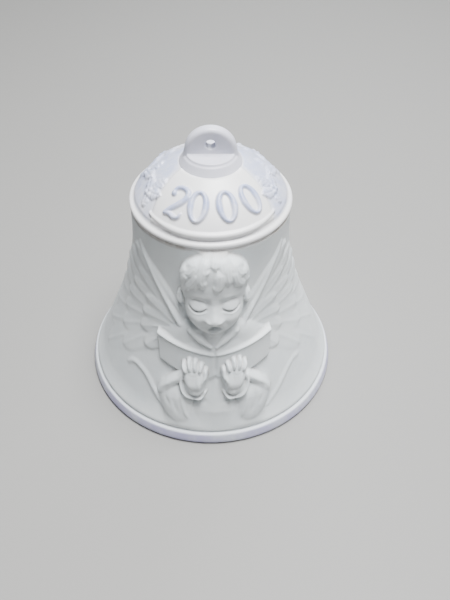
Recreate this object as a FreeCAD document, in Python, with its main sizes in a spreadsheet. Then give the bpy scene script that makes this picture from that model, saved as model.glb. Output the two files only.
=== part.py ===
"""Porcelain table bell: a flared bisque skirt with a low relief, a domed crown with a rolled lip, and a
pierced hanging tab on a round boss. Inside the crown a small porcelain saddle holds a wire eye that can
turn, and a bored porcelain ball hangs from the eye on a wire and strikes the inside of the skirt.

Millimetres, +Z up. The origin is the centre of the foot ring, on the surface that the bell stands on.
The relief and the tab's pierced face look towards -Y.
"""

import FreeCAD, Part
import math
import os
import Sketcher

Vector = FreeCAD.Vector
doc = FreeCAD.newDocument("PorcelainBell")

# ---------------------------------------------------------------- driving dimensions
SIZES = {
    # skirt, outside
    "rim_radius": 41.0,
    "rim_height": 1.1,
    "foot_radius": 40.1,
    "foot_bend": 1.05,
    "hem_height": 3.7,
    "hem_radius": 40.15,
    "groove_radius": 39.15,
    "groove_height": 4.1,
    "bead_radius": 39.35,
    "bead_height": 4.7,
    "flare_bend": 38.0,
    "cone_radius": 36.6,
    "cone_height": 10.0,
    "waist_radius": 28.7,
    "waist_height": 30.0,
    "waist_bend": 86.0,
    "neck_radius": 23.3,
    "neck_height": 60.0,
    # skirt and crown, inside
    "wall": 2.8,
    "level_wall": 3.0,
    "inner_waist_bend": 89.5,
    "foot_width": 2.9,
    # open book of the relief
    "book_spine_depth": 32.4,
    "book_edge_depth": 28.2,
    "book_half_width": 17.4,
    "book_bottom": 21.0,
    "book_top": 33.0,
    "book_back": 22.0,
    # crown
    "joint_height": 64.2,
    "lip_radius": 23.8,
    "lip_height": 65.3,
    "lip_bend": 1.25,
    "cove_radius": 21.9,
    "cove_height": 66.6,
    "cove_bend": 1.35,
    "panel_radius": 21.7,
    "panel_height": 67.8,
    "dome_bulge": 32.0,
    "inner_bulge": 29.2,
    "seat_radius": 8.6,
    "seat_height": 77.5,
    "ceiling_radius": 8.0,
    "ceiling_height": 74.7,
    # hanging tab
    "boss_radius": 7.5,
    "boss_waist_height": 79.1,
    "boss_bend": 2.4,
    "boss_height": 80.4,
    "boss_edge": 0.7,
    "tab_radius": 7.05,
    "tab_centre_height": 81.85,
    "tab_thickness": 3.4,
    "tab_edge": 1.25,
    "hole_radius": 1.4,
    "hole_height": 83.3,
    "hole_edge": 0.3,
    # clapper saddle
    "saddle_half_width": 7.0,
    "saddle_depth": 6.0,
    "saddle_leg": 2.8,
    "saddle_floor_height": 70.6,
    "saddle_base_height": 68.0,
    "saddle_bore_radius": 0.78,
    "saddle_edge": 1.6,
    # turning eye
    "eye_wire": 0.55,
    "eye_shank": 0.70,
    "eye_bend": 2.3,
    "eye_centre_height": 64.2,
    "shank_top": 73.6,
    "washer_play": 0.03,
    "washer_radius": 2.1,
    "washer_thickness": 0.5,
    "sleeve_radius": 1.35,
    "sleeve_length": 2.2,
    # clapper
    "clapper_wire": 0.5,
    "loop_bend": 2.3,
    "loop_play": 0.06,
    "ball_radius": 6.5,
    "ball_half_height": 6.3,
    "ball_flat": 1.6,
    "ball_height": 17.0,
    "ball_bore": 0.56,
    "ball_play": 0.05,
    "ferrule_radius": 1.3,
    "ferrule_length": 2.0,
    "stem_tip": 8.2,
}

# Rounded masses of the relief. Each is placed by its azimuth from the front in degrees, by the radius and
# height of its centre, and by its half width, depth and half height. It leans by an angle about the radius
# and is pitched by an angle to lie along the wall.
RELIEF_SIZES = ("azimuth", "reach", "height", "half_width", "depth", "half_height", "lean", "pitch")
RELIEF = {
    "head": (0.5, 23.6, 50.2, 10.2, 5.2, 12.4, 0.0, 3.0),
    "chest": (1.0, 26.8, 31.5, 13.5, 3.4, 9.0, 0.0, 14.0),
    "left_hand": (-8.6, 32.6, 24.6, 3.3, 1.8, 5.6, 8.0, 10.0),
    "right_hand": (11.2, 32.4, 24.9, 3.3, 1.8, 5.6, -8.0, 10.0),
    "left_sleeve": (-19.0, 32.8, 17.4, 7.0, 2.1, 4.6, 38.0, 18.0),
    "right_sleeve": (20.5, 32.8, 17.4, 7.0, 2.1, 4.6, -38.0, 18.0),
    "left_wing": (-47.0, 23.6, 47.0, 4.4, 1.8, 15.5, -22.0, 4.0),
    "right_wing": (48.0, 23.6, 47.0, 4.4, 1.8, 15.5, 22.0, 4.0),
    "left_pinion": (-74.0, 26.9, 33.0, 4.8, 1.9, 16.0, -16.0, 16.0),
    "right_pinion": (75.0, 26.9, 33.0, 4.8, 1.9, 16.0, 16.0, 16.0),
}
for mass, values in RELIEF.items():
    for name, value in zip(RELIEF_SIZES, values):
        SIZES[f"{mass}_{name}"] = value

sheet = doc.addObject("Spreadsheet::Sheet", "Dimensions")
sheet.Label = "dimensions"
for row, (alias, size) in enumerate(SIZES.items(), start=1):
    sheet.set(f"A{row}", alias)
    sheet.set(f"B{row}", str(size))
    sheet.setAlias(f"B{row}", alias)
doc.recompute()


class Dim:
    """A size from the sheet that keeps its own formula, so it can drive a FreeCAD expression."""

    def __init__(self, value, text):
        self.value = value
        self.text = text

    def joined(self, other, sign, result):
        other_text = other.text if isinstance(other, Dim) else repr(float(other))
        return Dim(result, f"({self.text} {sign} {other_text})")

    def __add__(self, other):
        return self.joined(other, "+", self.value + number(other))

    def __sub__(self, other):
        return self.joined(other, "-", self.value - number(other))

    def __mul__(self, other):
        return self.joined(other, "*", self.value * number(other))

    def __truediv__(self, other):
        return self.joined(other, "/", self.value / number(other))

    def __neg__(self):
        return self * -1.0

    def sine(self):
        return Dim(math.sin(math.radians(self.value)), f"sin({self.text})")

    def cosine(self):
        return Dim(math.cos(math.radians(self.value)), f"cos({self.text})")


def number(size):
    return size.value if isinstance(size, Dim) else float(size)


def dim(alias):
    return Dim(SIZES[alias], f"Dimensions.{alias}")


ZERO = Dim(0.0, "0.0")


# ---------------------------------------------------------------- helpers
def new_body(label):
    body = doc.addObject("PartDesign::Body", label)
    body.Label = label
    return body


def origin_plane(body, role):
    return next(feature for feature in body.Origin.OriginFeatures if feature.Role == role)


def new_sketch(body, name, plane, offset=None):
    """A sketch on one of the body's own origin planes, lifted off it by offset."""
    sketch = body.newObject("Sketcher::SketchObject", name)
    sketch.AttachmentSupport = [(origin_plane(body, plane), "")]
    sketch.MapMode = "FlatFace"
    if offset is not None:
        sketch.setExpression("AttachmentOffset.Base.z", offset.text)
    return sketch


def constrain(sketch, kind, *places, size=None):
    """Adds a constraint and, if it has a size, binds it to the sheet."""
    if size is None:
        sketch.addConstraint(Sketcher.Constraint(kind, *places))
        return
    index = sketch.addConstraint(Sketcher.Constraint(kind, *places, size.value))
    sketch.setExpression(f"Constraints[{index}]", size.text)


def pin_point(sketch, geometry, end, x, y):
    """Places one end of a line or arc at (x, y) from the sketch's origin."""
    constrain(sketch, "DistanceX", -1, 1, geometry, end, size=x)
    constrain(sketch, "DistanceY", -1, 1, geometry, end, size=y)


def arc_middle(start, end, radius, bends_left):
    """The middle of the shorter arc of this radius from start to end."""
    chord = end - start
    half = chord.Length / 2
    sagitta = radius - math.sqrt(radius * radius - half * half)
    left = Vector(-chord.y, chord.x, 0).normalize()
    return (start + end) / 2 + left * (sagitta if bends_left else -sagitta)


def outline(sketch, steps):
    """A closed outline. Each step is (x, y) for a corner reached by a straight line, or (x, y, radius, side)
    for one reached by an arc, whose middle lies on the left of its chord when side is 1. A sketch keeps its
    arcs anticlockwise, so an arc that bends to the left is drawn from its far end."""
    corners = [Vector(number(s[0]), number(s[1]), 0) for s in steps]
    ends = []
    for i, step in enumerate(steps):
        start, finish = corners[i - 1], corners[i]
        if len(step) == 2:
            edge = sketch.addGeometry(Part.LineSegment(start, finish), False)
            first, last = 1, 2
        else:
            bends_left = step[3] > 0
            middle = arc_middle(start, finish, step[2].value, bends_left)
            first, last = (2, 1) if bends_left else (1, 2)
            round_edge = Part.Arc(finish, middle, start) if bends_left else Part.Arc(start, middle, finish)
            edge = sketch.addGeometry(round_edge, False)
            constrain(sketch, "Radius", edge, size=step[2])
        ends.append((edge, first, last))
    for i, (edge, first, last) in enumerate(ends):
        before = ends[i - 1]
        constrain(sketch, "Coincident", before[0], before[2], edge, first)
        pin_point(sketch, edge, last, steps[i][0], steps[i][1])
    return sketch


def circle(sketch, x, y, radius):
    edge = sketch.addGeometry(Part.Circle(Vector(x.value, y.value, 0), Vector(0, 0, 1), radius.value), False)
    constrain(sketch, "Radius", edge, size=radius)
    pin_point(sketch, edge, 3, x, y)


def turned(body, name, kind, sketch):
    """A full revolution, or a groove, about the sketch's vertical axis."""
    feature = body.newObject(kind, name)
    feature.Profile = sketch
    feature.ReferenceAxis = (sketch, ["V_Axis"])
    feature.Angle = 360.0
    return feature


def through(body, name, sketch, kind="PartDesign::Pocket"):
    """A cut through everything, both ways from its sketch."""
    feature = body.newObject(kind, name)
    feature.Profile = sketch
    feature.Type = "ThroughAll"
    feature.Midplane = True
    return feature


def bind(part, **sizes):
    for name, size in sizes.items():
        part.setExpression(name.replace("__", "."), size.text)
    return part


def primitive(kind, name, **sizes):
    return bind(doc.addObject(kind, name), **sizes)


def fused(label, *shapes):
    whole = doc.addObject("Part::MultiFuse", label)
    whole.Shapes = list(shapes)
    whole.Label = label
    return whole


def cut(label, base, tool):
    piece = doc.addObject("Part::Cut", label)
    piece.Base = base
    piece.Tool = tool
    piece.Label = label
    return piece


def edges_near(feature, test):
    """The names of a feature's edges whose middle passes the test."""
    doc.recompute()
    named = []
    for i, edge in enumerate(feature.Shape.Edges, start=1):
        middle = edge.valueAt((edge.FirstParameter + edge.LastParameter) / 2)
        if test(middle, edge):
            named.append(f"Edge{i}")
    return named


def rounded(body, name, feature, test, radius):
    fillet = body.newObject("PartDesign::Fillet", name)
    fillet.Base = (feature, edges_near(feature, test))
    fillet.setExpression("Radius", radius.text)
    return fillet


wall = dim("wall")
neck_radius = dim("neck_radius")
neck_bore = neck_radius - wall
joint_height = dim("joint_height")


# ---------------------------------------------------------------- bell_skirt
# Slip-cast flared wall: round foot, coloured hem with a groove over it, cone, and a concave sweep into a
# nearly straight neck. The masses of the relief, a winged child with an open book, are part of the casting.
skirt = new_body("bell_skirt")
outside = outline(
    new_sketch(skirt, "SkirtOutside", "XZ_Plane"),
    [
        (ZERO, ZERO),
        (dim("foot_radius"), ZERO),
        (dim("rim_radius"), dim("rim_height"), dim("foot_bend"), -1),
        (dim("hem_radius"), dim("hem_height")),
        (dim("groove_radius"), dim("groove_height")),
        (dim("bead_radius"), dim("bead_height")),
        (dim("cone_radius"), dim("cone_height"), dim("flare_bend"), 1),
        (dim("waist_radius"), dim("waist_height")),
        (neck_radius, dim("neck_height"), dim("waist_bend"), 1),
        (neck_radius, joint_height),
        (ZERO, joint_height),
    ],
)
turned(skirt, "SkirtBody", "PartDesign::Revolution", outside)

for mass in RELIEF:
    azimuth = dim(f"{mass}_azimuth")
    reach = dim(f"{mass}_reach")
    lump = skirt.newObject("PartDesign::AdditiveEllipsoid", "Relief_" + mass)
    lump.AttachmentSupport = [(origin_plane(skirt, "XY_Plane"), "")]
    lump.MapMode = "FlatFace"
    facing = FreeCAD.Rotation(Vector(0, 0, 1), SIZES[f"{mass}_azimuth"])
    pitched = FreeCAD.Rotation(Vector(1, 0, 0), -SIZES[f"{mass}_pitch"])
    leaning = FreeCAD.Rotation(Vector(0, 1, 0), -SIZES[f"{mass}_lean"])
    lump.AttachmentOffset = FreeCAD.Placement(Vector(0, 0, 0), facing * pitched * leaning)
    lump.Angle1 = -90
    lump.Angle2 = 90
    lump.Angle3 = 360
    bind(
        lump,
        Radius1=dim(f"{mass}_half_height"),
        Radius2=dim(f"{mass}_half_width"),
        Radius3=dim(f"{mass}_depth"),
        AttachmentOffset__Base__x=azimuth.sine() * reach,
        AttachmentOffset__Base__y=-(azimuth.cosine() * reach),
        AttachmentOffset__Base__z=dim(f"{mass}_height"),
    )

pages = outline(
    new_sketch(skirt, "BookPlan", "XY_Plane", dim("book_bottom")),
    [
        (-dim("book_half_width"), -dim("book_back")),
        (-dim("book_half_width"), -dim("book_edge_depth")),
        (ZERO, -dim("book_spine_depth")),
        (dim("book_half_width"), -dim("book_edge_depth")),
        (dim("book_half_width"), -dim("book_back")),
    ],
)
book = skirt.newObject("PartDesign::Pad", "Relief_book")
book.Profile = pages
bind(book, Length=dim("book_top") - dim("book_bottom"))

inside = outline(
    new_sketch(skirt, "SkirtInside", "XZ_Plane"),
    [
        (ZERO, -wall),
        (dim("foot_radius") - dim("foot_width"), -wall),
        (dim("foot_radius") - dim("foot_width"), dim("rim_height")),
        (dim("cone_radius") - dim("level_wall"), dim("cone_height")),
        (dim("waist_radius") - dim("level_wall"), dim("waist_height")),
        (neck_bore, dim("neck_height"), dim("inner_waist_bend"), 1),
        (neck_bore, joint_height + wall),
        (ZERO, joint_height + wall),
    ],
)
turned(skirt, "SkirtHollow", "PartDesign::Groove", inside)


# ---------------------------------------------------------------- crown_dome
# Slip-cast cap: flat joint face on the skirt, rolled lip, small cove, and a dome that ends in a flat seat.
crown = new_body("crown_dome")
crown_outside = outline(
    new_sketch(crown, "CrownOutside", "XZ_Plane"),
    [
        (ZERO, joint_height),
        (neck_radius, joint_height),
        (dim("lip_radius"), dim("lip_height"), dim("lip_bend"), -1),
        (dim("cove_radius"), dim("cove_height"), dim("cove_bend"), -1),
        (dim("panel_radius"), dim("panel_height")),
        (dim("seat_radius"), dim("seat_height"), dim("dome_bulge"), -1),
        (ZERO, dim("seat_height")),
    ],
)
turned(crown, "CrownBody", "PartDesign::Revolution", crown_outside)
crown_inside = outline(
    new_sketch(crown, "CrownInside", "XZ_Plane"),
    [
        (ZERO, joint_height - wall),
        (neck_bore, joint_height - wall),
        (neck_bore, dim("cove_height")),
        (dim("ceiling_radius"), dim("ceiling_height"), dim("inner_bulge"), -1),
        (ZERO, dim("ceiling_height")),
    ],
)
turned(crown, "CrownHollow", "PartDesign::Groove", crown_inside)


# ---------------------------------------------------------------- hanging_tab
# A half-round pierced tab with rounded edges, standing across a cast boss with a concave side.
tab = new_body("hanging_tab")
ear_outline = outline(
    new_sketch(tab, "EarOutline", "XZ_Plane"),
    [
        (-dim("tab_radius"), dim("seat_height")),
        (dim("tab_radius"), dim("seat_height")),
        (dim("tab_radius"), dim("tab_centre_height")),
        (ZERO, dim("tab_centre_height") + dim("tab_radius"), dim("tab_radius"), -1),
        (-dim("tab_radius"), dim("tab_centre_height"), dim("tab_radius"), -1),
    ],
)
ear = tab.newObject("PartDesign::Pad", "Ear")
ear.Profile = ear_outline
ear.Midplane = True
bind(ear, Length=dim("tab_thickness"))


def ear_side(middle, edge):
    on_face = abs(abs(middle.y) - SIZES["tab_thickness"] / 2) < 1e-4
    return on_face and middle.z > SIZES["seat_height"] + 1e-3


rounded(tab, "EarEdges", ear, ear_side, dim("tab_edge"))
boss_outline = outline(
    new_sketch(tab, "BossOutline", "XZ_Plane"),
    [
        (ZERO, dim("seat_height")),
        (dim("seat_radius"), dim("seat_height")),
        (dim("boss_radius"), dim("boss_waist_height"), dim("boss_bend"), 1),
        (dim("boss_radius"), dim("boss_height") - dim("boss_edge")),
        (dim("boss_radius") - dim("boss_edge"), dim("boss_height"), dim("boss_edge"), -1),
        (ZERO, dim("boss_height")),
    ],
)
turned(tab, "Boss", "PartDesign::Revolution", boss_outline)
hole_sketch = new_sketch(tab, "HoleOutline", "XZ_Plane")
circle(hole_sketch, ZERO, dim("hole_height"), dim("hole_radius"))
hole = through(tab, "HangingHole", hole_sketch)


def hole_mouth(middle, edge):
    on_face = abs(abs(middle.y) - SIZES["tab_thickness"] / 2) < 1e-3
    return on_face and edge.Length < 6.4 * SIZES["hole_radius"]


rounded(tab, "HoleEdges", hole, hole_mouth, dim("hole_edge"))


# ---------------------------------------------------------------- clapper_saddle
# Small porcelain stirrup under the crown's flat ceiling, with a window for the pin's crimp and a bore.
saddle = new_body("clapper_saddle")
half_width = dim("saddle_half_width")
window = half_width - dim("saddle_leg")
saddle_outline = outline(
    new_sketch(saddle, "SaddleOutline", "XZ_Plane"),
    [
        (-half_width, dim("ceiling_height")),
        (-half_width, dim("saddle_base_height")),
        (half_width, dim("saddle_base_height")),
        (half_width, dim("ceiling_height")),
        (window, dim("ceiling_height")),
        (window, dim("saddle_floor_height")),
        (-window, dim("saddle_floor_height")),
        (-window, dim("ceiling_height")),
    ],
)
stirrup = saddle.newObject("PartDesign::Pad", "Stirrup")
stirrup.Profile = saddle_outline
stirrup.Midplane = True
bind(stirrup, Length=dim("saddle_depth"))


def lower_corner(middle, edge):
    at_side = abs(abs(middle.x) - SIZES["saddle_half_width"]) < 1e-4
    return at_side and abs(middle.z - SIZES["saddle_base_height"]) < 1e-4


rounded(saddle, "SaddleCorners", stirrup, lower_corner, dim("saddle_edge"))
bore_sketch = new_sketch(saddle, "SaddleBore", "XY_Plane")
circle(bore_sketch, ZERO, ZERO, dim("saddle_bore_radius"))
through(saddle, "PinBore", bore_sketch)


# ---------------------------------------------------------------- wire eye, washer and crimp
# The eye's shank stands in the saddle's bore. A washer and a sleeve crimped on its end carry it.
def loop_with_stem(label, wire, bend, centre_height, stem_radius, stem_bottom, stem_top, across_x):
    """A closed wire loop in a vertical plane, fused to a straight stem. across_x puts the loop in XZ."""
    ring = primitive("Part::Torus", label + "_ring", Radius1=bend, Radius2=wire)
    upright = FreeCAD.Rotation(Vector(1, 0, 0), 90)
    square = FreeCAD.Rotation(Vector(0, 0, 1), 90)
    turn = upright if across_x else square * upright
    ring.Placement = FreeCAD.Placement(Vector(0, 0, 0), turn)
    bind(ring, Placement__Base__z=centre_height)
    stem = primitive("Part::Cylinder", label + "_stem", Radius=stem_radius, Height=stem_top - stem_bottom)
    bind(stem, Placement__Base__z=stem_bottom)
    return fused(label, ring, stem)


def collar(label, radius, bore, bottom, length):
    """A ring about the Z axis."""
    disc = primitive("Part::Cylinder", label + "_disc", Radius=radius, Height=length)
    bind(disc, Placement__Base__z=bottom)
    hole = primitive("Part::Cylinder", label + "_hole", Radius=bore, Height=length * 3.0)
    bind(hole, Placement__Base__z=bottom - length)
    return cut(label, disc, hole)


eye_top = dim("eye_centre_height") + dim("eye_bend")
eye_pin = loop_with_stem(
    "eye_pin",
    dim("eye_wire"),
    dim("eye_bend"),
    dim("eye_centre_height"),
    dim("eye_shank"),
    eye_top,
    dim("shank_top"),
    across_x=True,
)
washer_bottom = dim("saddle_floor_height") + dim("washer_play")
washer_top = washer_bottom + dim("washer_thickness")
saddle_washer = collar(
    "saddle_washer", dim("washer_radius"), dim("eye_shank"), washer_bottom, dim("washer_thickness")
)
crimp_sleeve = collar("crimp_sleeve", dim("sleeve_radius"), dim("eye_shank"), washer_top, dim("sleeve_length"))


# ---------------------------------------------------------------- clapper
# The clapper's loop hangs in the eye, square to it. The ball is threaded on the wire and rests on a ferrule.
swing_height = dim("eye_centre_height") - dim("eye_bend")
loop_top = swing_height + dim("eye_wire") + dim("clapper_wire") + dim("loop_play")
loop_centre = loop_top - dim("loop_bend")
clapper_wire = loop_with_stem(
    "clapper_wire",
    dim("clapper_wire"),
    dim("loop_bend"),
    loop_centre,
    dim("clapper_wire"),
    dim("stem_tip"),
    loop_centre - dim("loop_bend"),
    across_x=False,
)

ball = new_body("clapper_ball")
ball_centre = dim("ball_height")
ball_top = ball_centre + dim("ball_half_height")
ball_bottom = ball_centre - dim("ball_half_height")
ball_sketch = outline(
    new_sketch(ball, "BallOutline", "XZ_Plane"),
    [
        (dim("ball_bore"), ball_bottom),
        (dim("ball_flat"), ball_bottom),
        (dim("ball_radius"), ball_centre, dim("ball_radius"), -1),
        (dim("ball_flat"), ball_top, dim("ball_radius"), -1),
        (dim("ball_bore"), ball_top),
    ],
)
turned(ball, "BallBody", "PartDesign::Revolution", ball_sketch)

ferrule_top = ball_bottom - dim("ball_play")
ball_ferrule = collar(
    "ball_ferrule",
    dim("ferrule_radius"),
    dim("clapper_wire"),
    ferrule_top - dim("ferrule_length"),
    dim("ferrule_length"),
)


# ---------------------------------------------------------------- check and write
doc.recompute()
PIECES = [
    skirt,
    crown,
    tab,
    saddle,
    eye_pin,
    saddle_washer,
    crimp_sleeve,
    clapper_wire,
    ball,
    ball_ferrule,
]

for item in doc.Objects:
    if any(flag in ("Invalid", "Error") for flag in item.State):
        raise RuntimeError(f"{item.Name} failed: {item.State}")
    if item.TypeId == "Sketcher::SketchObject" and item.solve() != 0:
        raise RuntimeError(f"sketch {item.Name} doesn't solve")
    if item.TypeId in ("PartDesign::Groove", "PartDesign::Pocket"):
        removed = item.BaseFeature.Shape.Volume - item.Shape.Volume
        print(f"{item.Name} removes {removed:.1f} mm3")
        if removed < 1.0:
            raise RuntimeError(f"{item.Name} cuts nothing")

os.makedirs("parts", exist_ok=True)
for piece in PIECES:
    shape = piece.Shape
    if shape.isNull() or not shape.isValid() or not shape.Solids:
        raise RuntimeError(f"{piece.Label} isn't a valid solid")
    shape.exportStep(os.path.join("parts", piece.Label + ".step"))
    box = shape.optimalBoundingBox()
    print(
        f"{piece.Label:16s} solids {len(shape.Solids)} volume {shape.Volume:9.1f} mm3 "
        f"x {box.XMin:7.2f} {box.XMax:7.2f} y {box.YMin:7.2f} {box.YMax:7.2f} z {box.ZMin:7.2f} {box.ZMax:7.2f}"
    )
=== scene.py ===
import bpy
import bmesh
import math
import numpy as np
from mathutils import Euler, Matrix, Vector


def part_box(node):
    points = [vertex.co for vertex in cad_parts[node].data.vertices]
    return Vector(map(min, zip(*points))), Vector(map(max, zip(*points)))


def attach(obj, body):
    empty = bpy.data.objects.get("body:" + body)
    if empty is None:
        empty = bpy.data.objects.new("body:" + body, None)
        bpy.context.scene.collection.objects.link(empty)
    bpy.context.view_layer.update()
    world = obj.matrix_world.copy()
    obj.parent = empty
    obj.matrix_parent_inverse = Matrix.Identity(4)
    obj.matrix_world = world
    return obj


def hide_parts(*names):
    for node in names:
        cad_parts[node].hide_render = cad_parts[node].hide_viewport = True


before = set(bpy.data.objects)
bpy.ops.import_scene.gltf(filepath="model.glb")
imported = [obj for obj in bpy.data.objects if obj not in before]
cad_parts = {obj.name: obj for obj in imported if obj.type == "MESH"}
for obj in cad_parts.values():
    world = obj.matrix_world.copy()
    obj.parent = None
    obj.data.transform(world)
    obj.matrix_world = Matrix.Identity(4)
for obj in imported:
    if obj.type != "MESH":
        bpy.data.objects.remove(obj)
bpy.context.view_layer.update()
MM = 0.001


def made_mesh(name, bm):
    """A mesh of that name from a bmesh, which is freed."""
    data = bpy.data.meshes.new(name)
    bm.to_mesh(data)
    bm.free()
    return data


# ---------------------------------------------------------------- table, light and camera
# A plain pale table top, open under the bell and seen from above only, so that a view from below shows the
# inside. A soft light overhead and one behind it, weaker ones in front, at the sides and below, and a camera
# that looks down on the bell from the front.
table_radius, opening_radius = 1.6, 0.0404
table_mesh = bmesh.new()
for reach in (table_radius, opening_radius):
    bmesh.ops.create_circle(table_mesh, segments=96, radius=reach)
bmesh.ops.bridge_loops(table_mesh, edges=table_mesh.edges)
for face in table_mesh.faces:
    if face.normal.z < 0:
        face.normal_flip()
table_top = bpy.data.objects.new("table_top", made_mesh("table_top", table_mesh))
bpy.context.collection.objects.link(table_top)
pale_table = bpy.data.materials.new("pale_table")
pale_table.use_nodes = True
nodes, links = pale_table.node_tree.nodes, pale_table.node_tree.links
table_shader = nodes["Principled BSDF"]
table_shader.inputs["Base Color"].default_value = (0.27, 0.268, 0.26, 1)
table_shader.inputs["Roughness"].default_value = 0.6
one_sided = nodes.new("ShaderNodeMixShader")
links.new(nodes.new("ShaderNodeNewGeometry").outputs["Backfacing"], one_sided.inputs[0])
links.new(table_shader.outputs["BSDF"], one_sided.inputs[1])
links.new(nodes.new("ShaderNodeBsdfTransparent").outputs["BSDF"], one_sided.inputs[2])
links.new(one_sided.outputs[0], nodes["Material Output"].inputs["Surface"])
table_top.data.materials.append(pale_table)


def soft_light(name, place, aim, width, depth, power, tint=(1, 1, 1)):
    """A rectangular lamp turned towards a point. Sizes are in metres and power in watts."""
    data = bpy.data.lights.new(name, "AREA")
    data.shape = "RECTANGLE"
    data.size = width
    data.size_y = depth
    data.energy = power
    data.color = tint
    lamp = bpy.data.objects.new(name, data)
    bpy.context.collection.objects.link(lamp)
    lamp.location = place
    lamp.rotation_mode = "QUATERNION"
    lamp.rotation_quaternion = (Vector(aim) - Vector(place)).to_track_quat("-Z", "Y")


soft_light("overhead", (0.07, 0.0, 0.60), (0.005, 0, 0.03), 0.30, 0.28, 10.6)
soft_light("behind", (0.12, 0.55, 0.42), (0, 0, 0.04), 0.40, 0.30, 2.2, (0.93, 0.97, 1.0))
soft_light("front_top", (0.10, -0.22, 0.55), (0, 0, 0.02), 0.20, 0.20, 1.3)
soft_light("left_fill", (-0.60, -0.20, 0.40), (0, 0, 0.04), 0.45, 0.45, 0.15, (0.90, 0.95, 1.0))
soft_light("right_fill", (0.60, -0.10, 0.40), (0, 0, 0.04), 0.35, 0.35, 0.6, (1.0, 0.98, 0.95))
soft_light("from_below", (0.06, -0.16, -0.40), (0, 0, 0.03), 0.30, 0.30, 1.6)
world = bpy.data.worlds.new("room")
world.use_nodes = True
world.node_tree.nodes["Background"].inputs["Color"].default_value = (0.80, 0.84, 0.90, 1)
world.node_tree.nodes["Background"].inputs["Strength"].default_value = 0.03
bpy.context.scene.world = world

camera_data = bpy.data.cameras.new("camera")
camera_data.lens = 42.0
camera_data.sensor_width = 36.0
camera_data.clip_start = 0.01
camera = bpy.data.objects.new("camera", camera_data)
bpy.context.collection.objects.link(camera)
camera_place, camera_degrees = (0, -0.16497, 0.1865), (45.2359, -0.5341, -1.0225)
camera_turn = Euler([math.radians(angle) for angle in camera_degrees])
camera.matrix_world = Matrix.LocRotScale(Vector(camera_place), camera_turn, None)
bpy.context.scene.camera = camera


# ---------------------------------------------------------------- bell skirt
# Slip-cast bisque wall, 2.8 mm thick, with a tinted hem. The relief is cast with it: a child with wings
# sings from an open book. It is drawn here as heights over the unrolled wall, in millimetres.
skirt_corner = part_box("bell_skirt")[1] / MM
RIM, JOINT, NECK, WALL = skirt_corner.x, skirt_corner.z, 23.3, 2.8


def bend(start, end, radius, side, parts):
    """Points along an arc from start to end, without the start. side 1 bends to the left."""
    a, b = np.array(start, float), np.array(end, float)
    chord = b - a
    half = np.hypot(*chord) / 2
    left = np.array([-chord[1], chord[0]]) / (2 * half)
    centre = (a + b) / 2 - left * side * math.sqrt(radius**2 - half**2)
    first = math.atan2(*(a - centre)[::-1])
    turn = -side * 2 * math.asin(half / radius)
    angles = first + turn * np.arange(1, parts + 1) / parts
    return [tuple(centre + radius * np.array([math.cos(t), math.sin(t)])) for t in angles]


def evenly(points, spacing):
    """The same line with points at an even spacing."""
    line = np.array(points)
    run = np.concatenate([[0], np.cumsum(np.hypot(*np.diff(line, axis=0).T))])
    at = np.linspace(0, run[-1], max(2, round(run[-1] / spacing) + 1))
    return [(float(np.interp(t, run, line[:, 0])), float(np.interp(t, run, line[:, 1]))) for t in at]


waist_bend, inner_bend = 86.0, 89.5
wall_line = [(39.35, 4.85)] + bend((39.35, 4.85), (36.6, 10), 38.0, 1, 60)
wall_line += evenly([(36.6, 10), (28.7, 30)], 0.1)[1:]
wall_line += bend((28.7, 30), (NECK, 60), waist_bend, 1, 400) + [(NECK, JOINT)]
hem_line = [(37.6, 0.0), (39.9, 0.0)] + bend((39.9, 0), (RIM, 1.15), 1.15, -1, 6)
hem_line += [(40.85, 1.7), (40.62, 2.5), (40.38, 3.2), (40.25, 3.5), (40.05, 3.68), (39.7, 3.78)]
hem_line += [(39.35, 3.87), (39.15, 4.02), (39.08, 4.22), (39.14, 4.42), (39.28, 4.6), (39.35, 4.72)]
inner_line = bend((NECK - WALL, 60), (25.7, 30), inner_bend, -1, 30) + [(33.6, 10), (36.9, 1.7), (37.15, 0.5)]
inner_line = [(NECK - WALL, JOINT)] + evenly([(NECK - WALL, 60)] + inner_line, 2.4)
skirt_outline = hem_line + evenly(wall_line, 0.9) + inner_line


def spun(outline, steps, closed=True):
    """An outline of radius and height in millimetres, spun about the bell's axis."""
    bm = bmesh.new()
    corners = [bm.verts.new((0, -r * MM, z * MM)) for r, z in outline]
    sides = [bm.edges.new((corners[i - 1], corners[i])) for i in range(0 if closed else 1, len(corners))]
    full_turn = {"cent": (0, 0, 0), "axis": (0, 0, 1), "angle": 2 * math.pi, "use_merge": True}
    bmesh.ops.spin(bm, geom=corners + sides, steps=steps, **full_turn)
    bmesh.ops.remove_doubles(bm, verts=bm.verts, dist=1e-6)
    bmesh.ops.recalc_face_normals(bm, faces=bm.faces)
    return bm


def divide_where(bm, wanted):
    """Halves every edge whose both ends are wanted. wanted takes azimuth in degrees, radius and height."""
    inside = set()
    for vert in bm.verts:
        x, y, z = vert.co / MM
        if wanted(math.degrees(math.atan2(x, -y)), math.hypot(x, y), z):
            inside.add(vert)
    edges = [edge for edge in bm.edges if edge.verts[0] in inside and edge.verts[1] in inside]
    bmesh.ops.subdivide_edges(bm, edges=edges, cuts=1, use_grid_fill=True)


wall_z = np.array([z for r, z in wall_line])
wall_r = np.array([r for r, z in wall_line])


def wall_radius(z):
    return np.interp(z, wall_z, wall_r)


def on_outside(radius, z):
    """Whether a point is on the outer wall, between the hem and the joint."""
    hem_top, under_joint = 4.95, JOINT - 0.1
    return (z > hem_top) & (z < under_joint) & (radius > wall_radius(z) - WALL / 2)


def near_wings(turn, radius, z):
    wing_reach = 104
    return abs(turn) < wing_reach and on_outside(radius, z)


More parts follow.
